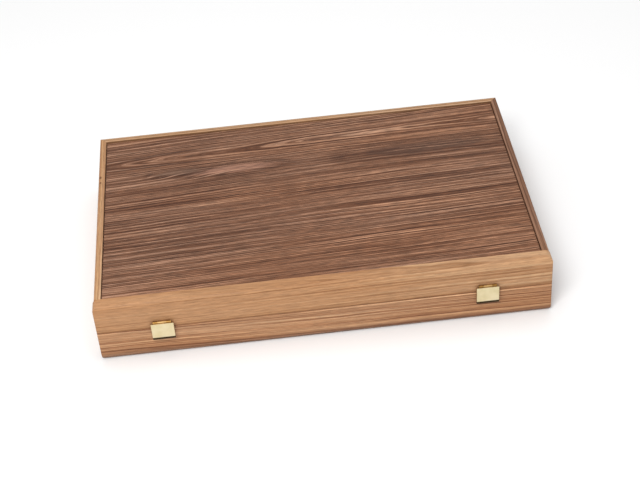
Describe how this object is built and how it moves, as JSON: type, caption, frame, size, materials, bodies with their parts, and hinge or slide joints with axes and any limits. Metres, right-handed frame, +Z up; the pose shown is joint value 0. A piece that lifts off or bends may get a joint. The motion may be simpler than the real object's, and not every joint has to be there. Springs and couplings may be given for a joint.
{
  "type": "folding backgammon case",
  "caption": "Folding walnut backgammon case: hinged trays with inlaid points, a checker rack with loose checkers and dice, and brass snap clasps.",
  "frame": {"origin": "centre of the closed case's footprint, clasps and hinges included, on the surface that it stands on", "axes": "+X along the rails to the right, +Y from the clasps to the hinges, +Z up"},
  "size_m": [0.48, 0.3152, 0.072],
  "materials": {
    "rail_walnut": "satin lacquer",
    "panel_walnut": "satin lacquer",
    "field_veneer": "satin lacquer",
    "dark_inlay": "satin lacquer",
    "light_inlay": "satin lacquer",
    "rack_walnut": "satin lacquer",
    "clasp_brass": "bright pressed",
    "hinge_brass": "satin",
    "brass_fasteners": "polished heads",
    "maple_checkers": "turned, waxed",
    "ebony_checkers": "turned, waxed",
    "ivory_dice": "polished",
    "brown_dice": "polished"
  },
  "bodies": {
    "case_base": {"base_front_rail": "rail_walnut", "base_left_rail": "rail_walnut", "base_right_rail": "rail_walnut", "base_back_rail": "rail_walnut", "base_panel": "panel_walnut", "base_playing_field": "field_veneer", "base_dark_points": "dark_inlay", "base_light_points": "light_inlay", "base_rack_divider": "rack_walnut", "left_rack_partition": "rack_walnut", "right_rack_partition": "rack_walnut", "base_hinge_screws": "brass_fasteners", "base_clasp_nails": "brass_fasteners", "left_hinge_base_leaf": "hinge_brass", "right_hinge_base_leaf": "hinge_brass", "left_hinge_pin": "hinge_brass", "right_hinge_pin": "hinge_brass", "left_clasp_keeper": "clasp_brass", "right_clasp_keeper": "clasp_brass"},
    "lid": {"lid_front_rail": "rail_walnut", "lid_left_rail": "rail_walnut", "lid_right_rail": "rail_walnut", "lid_back_rail": "rail_walnut", "lid_panel": "panel_walnut", "lid_playing_field": "field_veneer", "lid_dark_points": "dark_inlay", "lid_light_points": "light_inlay", "lid_rack_divider": "rack_walnut", "lid_hinge_screws": "brass_fasteners", "lid_clasp_nails": "brass_fasteners", "left_hinge_lid_leaf": "hinge_brass", "right_hinge_lid_leaf": "hinge_brass", "left_clasp_plate": "clasp_brass", "right_clasp_plate": "clasp_brass", "left_clasp_pin": "clasp_brass", "right_clasp_pin": "clasp_brass"},
    "left_flap": {"left_clasp_flap": "clasp_brass"},
    "right_flap": {"right_clasp_flap": "clasp_brass"},
    "light_row": {"light_checkers": "maple_checkers"},
    "dark_row": {"dark_checkers": "ebony_checkers"},
    "light_die_a": {"light_front_die": "ivory_dice"},
    "light_die_b": {"light_back_die": "ivory_dice"},
    "dark_die_a": {"dark_front_die": "brown_dice"},
    "dark_die_b": {"dark_back_die": "brown_dice"},
    "stake_cube": {"doubling_cube": "ivory_dice"}
  },
  "joints": [
    {"name": "lid_hinge", "type": "hinge", "parent": "case_base", "child": "lid", "pos_m": [0, 0.15518, 0.036], "axis": [-1, 0, 0], "range_deg": [0, 180]},
    {"name": "left_clasp_hinge", "type": "hinge", "parent": "lid", "child": "left_flap", "pos_m": [-0.171, -0.15493, 0.0451], "axis": [-1, 0, 0], "range_deg": [0, 110]},
    {"name": "right_clasp_hinge", "type": "hinge", "parent": "lid", "child": "right_flap", "pos_m": [0.171, -0.15493, 0.0451], "axis": [-1, 0, 0], "range_deg": [0, 110]},
    {"name": "light_row_slide", "type": "slide", "parent": "case_base", "child": "light_row", "axis": [1, 0, 0], "range_m": [0, 0.055]},
    {"name": "dark_row_slide", "type": "slide", "parent": "case_base", "child": "dark_row", "axis": [-1, 0, 0], "range_m": [0, 0.055]},
    {"name": "light_die_a_lift", "type": "slide", "parent": "case_base", "child": "light_die_a", "axis": [0, 0, 1], "range_m": [0, 0.025]},
    {"name": "light_die_b_lift", "type": "slide", "parent": "case_base", "child": "light_die_b", "axis": [0, 0, 1], "range_m": [0, 0.025]},
    {"name": "dark_die_a_lift", "type": "slide", "parent": "case_base", "child": "dark_die_a", "axis": [0, 0, 1], "range_m": [0, 0.025]},
    {"name": "dark_die_b_lift", "type": "slide", "parent": "case_base", "child": "dark_die_b", "axis": [0, 0, 1], "range_m": [0, 0.025]},
    {"name": "stake_cube_lift", "type": "slide", "parent": "case_base", "child": "stake_cube", "axis": [0, 0, 1], "range_m": [0, 0.025]}
  ]
}
